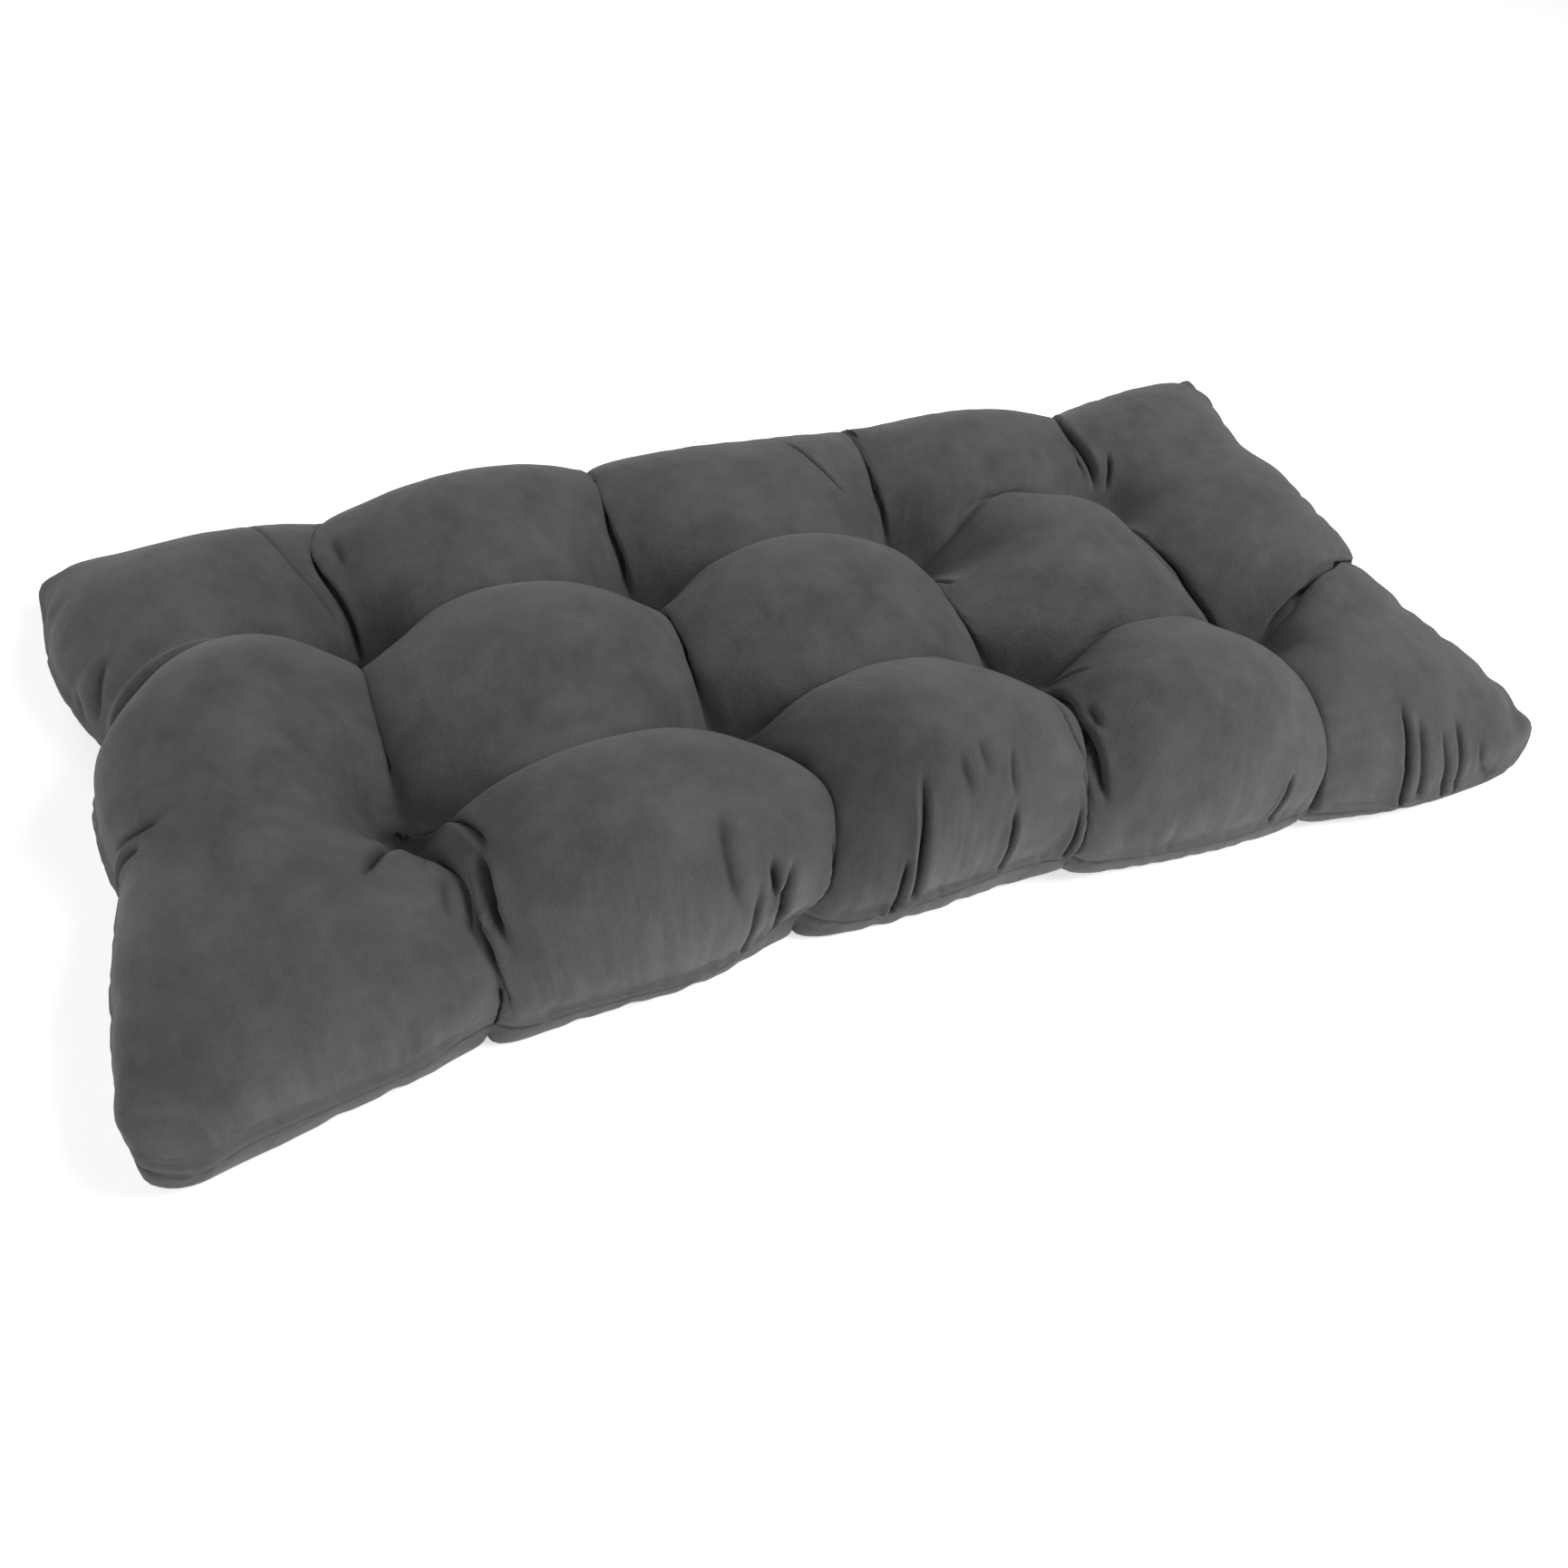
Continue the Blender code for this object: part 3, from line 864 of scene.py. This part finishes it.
def brushedMicrofibre():
    material, tree, shader = startMaterial("brushedMicrofibre")
    cloth = addNode(tree, "ShaderNodeAttribute", {}, attribute_name="cloth").outputs["Vector"]
    least, most = suede["contrast"]

    def pattern(size, detail, place=cloth):
        # smooth chance pattern from about -1 to 1, its patches as large as size
        found = addNode(tree, "ShaderNodeTexNoise", {
            "Vector": place, "Scale": 1 / size, "Detail": detail, "Roughness": suede["patchiness"]})
        return addNode(tree, "ShaderNodeMapRange", {
            "Value": found, "From Min": least, "From Max": most, "To Min": -1.0, "To Max": 1.0})

    cloud = pattern(suede["cloud"], 3.0)
    blotch = pattern(suede["blotch"], 2.0)
    fibre = pattern(suede["fibre"], 1.0)
    scale = tuple(1 / size for size in suede["streak"])
    streak = pattern(1.0, 2.0, addNode(tree, "ShaderNodeMapping", {"Vector": cloth, "Scale": scale}))
    normal = addNode(tree, "ShaderNodeNewGeometry", {}).outputs["Normal"]
    upright = addNode(tree, "ShaderNodeSeparateXYZ", {"Vector": normal}).outputs["Z"]
    begin, end = suede["steep"]
    steep = addNode(tree, "ShaderNodeMapRange", {
        "Value": upright, "From Min": begin, "From Max": end, "To Min": 0.0, "To Max": suede["shares"][3]})
    total = addNode(tree, "ShaderNodeMath", {0: streak, 1: steep}, operation="MULTIPLY")
    for part, share in zip((cloud, blotch, fibre), suede["shares"]):
        total = addNode(tree, "ShaderNodeMath", {0: part, 1: share, 2: total}, operation="MULTIPLY_ADD")
    whole = {"Value": total, "From Min": -suede["sum"], "From Max": suede["sum"]}
    nap = addNode(tree, "ShaderNodeMapRange", whole)
    down, up = linear(suede["napDown"]), linear(suede["napUp"])
    colour = addNode(tree, "ShaderNodeMix", {"Factor": nap, 6: down, 7: up}, data_type="RGBA").outputs[2]
    # painted shade: the deep attribute darkens the base colour towards the shaded colour
    deep = addNode(tree, "ShaderNodeAttribute", {}, attribute_name="deep").outputs["Fac"]
    shadeAmount = addNode(tree, "ShaderNodeMath", {0: deep, 1: suede["shadeShare"]}, operation="MULTIPLY")
    shadedColour = linear(suede["shadedColour"])
    shadedColour = addNode(tree, "ShaderNodeMix", {"Factor": shadeAmount, 6: colour, 7: shadedColour}, data_type="RGBA")
    down, up = suede["roughness"]
    worn = addNode(tree, "ShaderNodeMapRange", {**whole, "To Min": down, "To Max": up})
    share = suede["blotchRelief"]
    relief = addNode(tree, "ShaderNodeMath", {0: blotch, 1: share, 2: fibre}, operation="MULTIPLY_ADD")
    bump = addNode(tree, "ShaderNodeBump", {
        "Height": relief, "Strength": suede["reliefStrength"], "Distance": suede["relief"]})
    setInputs(tree, shader, {
        "Base Color": shadedColour.outputs[2], "Roughness": worn, "Normal": bump,
        "Specular IOR Level": suede["specular"], "Sheen Weight": suede["sheen"],
        "Sheen Roughness": suede["sheenRoughness"], "Sheen Tint": linear(suede["sheenTint"]),
    })
    return material


def markCloth(piece):
    # each point's place in its panel, in metres, for the material
    along, across, side = readPlaces(piece.data)
    place = np.concatenate((inCloth(along, across), side[:, None] * suede["panelsApart"]), -1)
    writeValues(piece.data, "cloth", place)


cushion = fill(sewPanels())
patIntoShape(cushion)
layFlat(cushion)
subdivide(cushion)
ripple(cushion)
thinUnderside(cushion)
for foldReach, seamReach in meshed["finer"]:
    finerNear(cushion, foldReach, seamReach)
layFolds(cushion)
drawSeam(cushion)
layFlat(cushion)
cushion.data.shade_smooth()
markCloth(cushion)
triangles = sum(len(face.vertices) - 2 for face in cushion.data.polygons)
print("cushion:", len(cushion.data.vertices), "points,", triangles, "triangles")
cushion.data.materials.append(brushedMicrofibre())

# Tufting thread is a thick twisted polyester, a shade darker than the cloth and slightly glossy. It is taken
# three times through the cushion at each tuft and drawn tight.
thread = {
    "strands": 3,
    "fan": 0.55,  # radians from one strand to the next
    "length": 0.012,
    "radius": 0.0005,
    "steps": 14,  # mesh steps along a strand
    "sides": 8,  # and round it
    "rise": 0.0016,  # how far a strand stands out of the pit, and how far its ends go into the cloth
    "drop": 0.0030,
    "looseness": (0.85, 1.15),
    "upright": 2,  # how far it faces straight up or down and not as the cloth does
    "seed": 4,
    "colours": ("#29292a", "#38383a"),  # between its plies and on them
    "plies": 99.52,  # a ply about every 4 mm, drawn coarse so that it shows
    "wobble": 1.5,
    "fuzz": 900.0,  # patches of 1.1 mm, coarse like the plies
    "relief": 0.0002,
    "reliefStrength": 0.5,
    "roughness": 0.6,
    "specular": 0.4,
}


def twistedPolyester():
    material, tree, shader = startMaterial("twistedPolyester")
    place = addNode(tree, "ShaderNodeTexCoord", {}).outputs["Object"]
    plies = addNode(tree, "ShaderNodeTexWave", {
        "Vector": place, "Scale": thread["plies"], "Distortion": thread["wobble"],
    }, bands_direction="DIAGONAL").outputs["Fac"]
    fuzz = addNode(tree, "ShaderNodeTexNoise", {"Vector": place, "Scale": thread["fuzz"], "Detail": 2.0})
    shade = addNode(tree, "ShaderNodeMath", {0: plies, 1: fuzz}, operation="MULTIPLY")
    dark, light = map(linear, thread["colours"])
    colour = addNode(tree, "ShaderNodeMix", {"Factor": shade, 6: dark, 7: light}, data_type="RGBA")
    bump = addNode(tree, "ShaderNodeBump", {
        "Height": plies, "Strength": thread["reliefStrength"], "Distance": thread["relief"]})
    setInputs(tree, shader, {
        "Base Color": colour.outputs[2], "Normal": bump, "Roughness": thread["roughness"],
        "Specular IOR Level": thread["specular"],
    })
    return material


def strandTree():
    # lays one arched strand on each given point, turned as its attribute says
    tree = bpy.data.node_groups.new("tuftingStrands", "GeometryNodeTree")
    for way in ("OUTPUT", "INPUT"):
        tree.interface.new_socket(name="Geometry", in_out=way, socket_type="NodeSocketGeometry")
    kinds = {"Seed": "NodeSocketInt", "Thread": "NodeSocketMaterial"}
    for name in ("Length", "Radius", "Rise", "Drop", "Tightest", "Loosest", "Seed", "Thread"):
        kind = kinds.get(name, "NodeSocketFloat")
        tree.interface.new_socket(name=name, in_out="INPUT", socket_type=kind)
    given = addNode(tree, "NodeGroupInput", {}).outputs
    rise, drop = given["Rise"], given["Drop"]
    sunk = addNode(tree, "ShaderNodeMath", {0: drop, 1: -1.0}, operation="MULTIPLY")
    ends = []
    for share in (-0.5, 0.5):
        off = addNode(tree, "ShaderNodeMath", {0: given["Length"], 1: share}, operation="MULTIPLY")
        ends.append(addNode(tree, "ShaderNodeCombineXYZ", {"X": off, "Z": sunk}))
    # the middle of such a curve passes half way between its ends and this point
    top = addNode(tree, "ShaderNodeMath", {0: rise, 1: 2.0, 2: drop}, operation="MULTIPLY_ADD")
    middle = addNode(tree, "ShaderNodeCombineXYZ", {"Z": top})
    line = addNode(tree, "GeometryNodeCurveQuadraticBezier", {
        "Resolution": thread["steps"], "Start": ends[0], "Middle": middle, "End": ends[1]})
    ring = addNode(tree, "GeometryNodeCurvePrimitiveCircle", {
        "Resolution": thread["sides"], "Radius": given["Radius"]})
    strand = addNode(tree, "GeometryNodeCurveToMesh", {
        "Curve": line, "Profile Curve": ring, "Fill Caps": True})
    turn = addNode(tree, "GeometryNodeInputNamedAttribute", {"Name": "turn"}, data_type="FLOAT_VECTOR")
    turned = addNode(tree, "FunctionNodeEulerToRotation", {"Euler": turn})
    size = addNode(tree, "FunctionNodeRandomValue", {
        2: given["Tightest"], 3: given["Loosest"], "Seed": given["Seed"]}, data_type="FLOAT")
    laid = addNode(tree, "GeometryNodeInstanceOnPoints", {
        "Points": given["Geometry"], "Instance": strand, "Rotation": turned, "Scale": size.outputs[1]})
    real = addNode(tree, "GeometryNodeRealizeInstances", {"Geometry": laid})
    even = addNode(tree, "GeometryNodeSetShadeSmooth", {"Geometry": real})
    done = addNode(tree, "GeometryNodeSetMaterial", {"Geometry": even, "Material": given["Thread"]})
    addNode(tree, "NodeGroupOutput", {"Geometry": done})
    return tree


def stitchTufts(piece):
    # three crossing strands in each pit, on both faces
    points, normals = readPoints(piece.data), readNormals(piece.data)
    along, across, side = readPlaces(piece.data)
    chance = np.random.RandomState(thread["seed"])
    places, turns = [], []
    for column, row in tufts:
        for face in (1, -1):
            tuft = np.where(side == face, np.hypot(along - column, across - row), np.inf).argmin()
            first = chance.uniform(0, math.pi)
            up = Vector((0, 0, face)) * thread["upright"] + Vector(normals[tuft])
            for number in range(thread["strands"]):
                turn = Euler((0, 0, first + number * thread["fan"])).to_quaternion()
                places.append(points[tuft] + np.array(up.normalized()) * number * thread["radius"])
                turns.append((up.to_track_quat("Z", "Y") @ turn).to_euler())
    marks = bpy.data.meshes.new("tuftingMarks")
    marks.from_pydata(np.array(places).tolist(), [], [])
    writeValues(marks, "turn", np.array(turns))
    strands = addObject("tuftingThread", marks)
    modifier = strands.modifiers.new("strands", "NODES")
    modifier.node_group = strandTree()
    values = {name.capitalize(): thread[name] for name in ("length", "radius", "rise", "drop", "seed")}
    values["Tightest"], values["Loosest"] = thread["looseness"]
    values["Thread"] = twistedPolyester()
    for item in modifier.node_group.interface.items_tree:
        if item.in_out == "INPUT" and item.name in values:
            modifier[item.identifier] = values[item.name]
    apply(strands, modifier)
    print("tufting thread:", len(places), "strands,", len(strands.data.polygons), "faces")
    return strands


tuftingThread = stitchTufts(cushion)
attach(tuftingThread, "root")
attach(cushion, "root")
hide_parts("cushion")

# a pale table, soft light and the photograph's angle
studio = {
    "cameraPlace": (-0.4563, -0.6537, 0.8091),
    "cameraTurn": (39.925, -7.855, -24.689),  # degrees
    "lens": 31.65,
    "sensor": 36.0,
    "floorHalf": 6.0,
    "paper": "#fcfcfc",
    "paperRoughness": 0.9,
    "paperGlow": 0.58,  # the table is lit from below, which leaves no hard shadow
    "air": 0.075,
    "softboxSize": 1.4,
    "softboxAway": 2.6,
    "softboxes": (  # name, degrees from the front towards the right, degrees up, watts
        ("rightSoftbox", 60, 50, 51),
        ("leftSoftbox", 300, 34, 15),
        ("backSoftbox", 205, 30, 14),
    ),
}


def palePaper():
    material, tree, shader = startMaterial("palePaper")
    setInputs(tree, shader, {
        "Base Color": linear(studio["paper"]), "Roughness": studio["paperRoughness"],
        "Emission Color": (1, 1, 1, 1), "Emission Strength": studio["paperGlow"],
    })
    return material


def layFloor():
    data = bpy.data.meshes.new("studioFloor")
    sheet = bmesh.new()
    bmesh.ops.create_grid(sheet, x_segments=1, y_segments=1, size=studio["floorHalf"])
    sheet.to_mesh(data)
    sheet.free()
    data.materials.append(palePaper())
    return addObject("studioFloor", data)


def hangSoftbox(name, turn, rise, power):
    # a square one, round the cushion and facing its middle
    turn, rise = math.radians(turn), math.radians(rise)
    way = Vector((math.sin(turn) * math.cos(rise), -math.cos(turn) * math.cos(rise), math.sin(rise)))
    data = bpy.data.lights.new(name, "AREA")
    data.size = studio["softboxSize"]
    data.energy = power
    light = addObject(name, data)
    light.location = way * studio["softboxAway"]
    light.rotation_euler = (-light.location).to_track_quat("-Z", "Y").to_euler()


def fillAir():
    # a little light from all round
    world = bpy.data.worlds.new("studioAir")
    bpy.context.scene.world = world
    world.use_nodes = True
    tree = world.node_tree
    setInputs(tree, tree.nodes["Background"], {"Color": (1, 1, 1, 1), "Strength": studio["air"]})


def placeCamera():
    data = bpy.data.cameras.new("studioCamera")
    data.lens = studio["lens"]
    data.sensor_width = studio["sensor"]
    camera = addObject("studioCamera", data)
    camera.location = studio["cameraPlace"]
    camera.rotation_euler = Euler([math.radians(turn) for turn in studio["cameraTurn"]], "XYZ")
    bpy.context.scene.camera = camera


studioFloor = layFloor()
for softbox in studio["softboxes"]:
    hangSoftbox(*softbox)
fillAir()
placeCamera()
bpy.context.scene.view_settings.view_transform = "Standard"
print("studio: floor,", len(studio["softboxes"]), "softboxes and camera")
